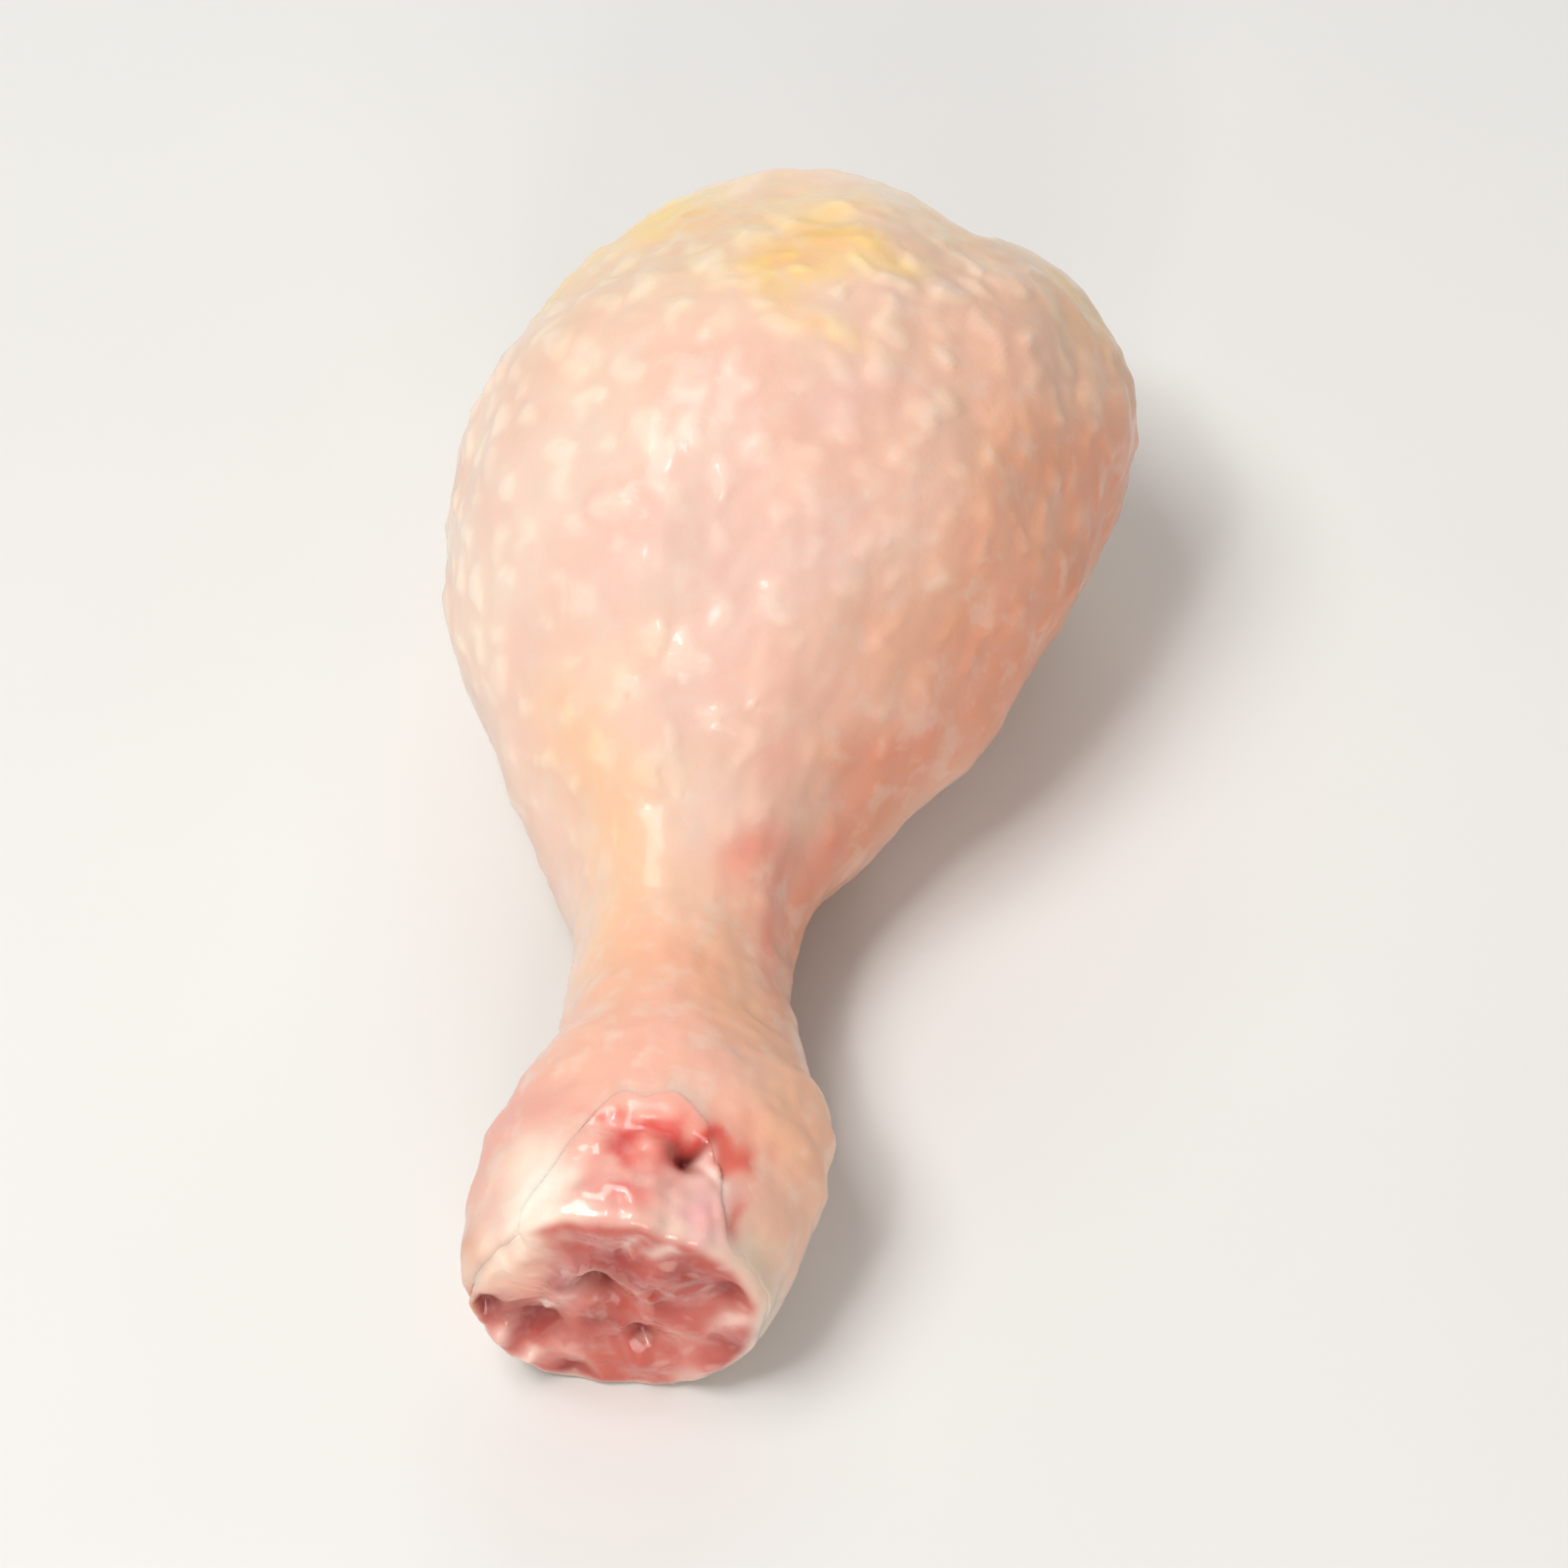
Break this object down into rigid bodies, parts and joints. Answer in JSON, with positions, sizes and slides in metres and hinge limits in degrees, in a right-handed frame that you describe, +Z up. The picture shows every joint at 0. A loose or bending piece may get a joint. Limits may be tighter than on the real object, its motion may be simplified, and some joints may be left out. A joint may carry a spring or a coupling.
{
  "type": "raw chicken drumstick",
  "caption": "Raw chicken lower leg with its skin on, lying on its side, with the bone and red flesh showing at the cut hock and bare flesh at the knee end.",
  "frame": {"origin": "on the surface that the leg lies on, under the middle of its bounding box", "axes": "+Z up, +Y from the cut hock towards the thick knee end, +X to the right as seen from the hock"},
  "size_m": [0.0572, 0.1166, 0.0472],
  "materials": {
    "skin": "moist raw chicken skin, pale pink and cream, with raised feather follicles",
    "flesh": "wet raw chicken flesh",
    "bone": "wet cartilage over bone"
  },
  "bodies": {
    "root": {"skin": "skin", "flesh": "flesh", "bone": "bone"}
  },
  "joints": []
}
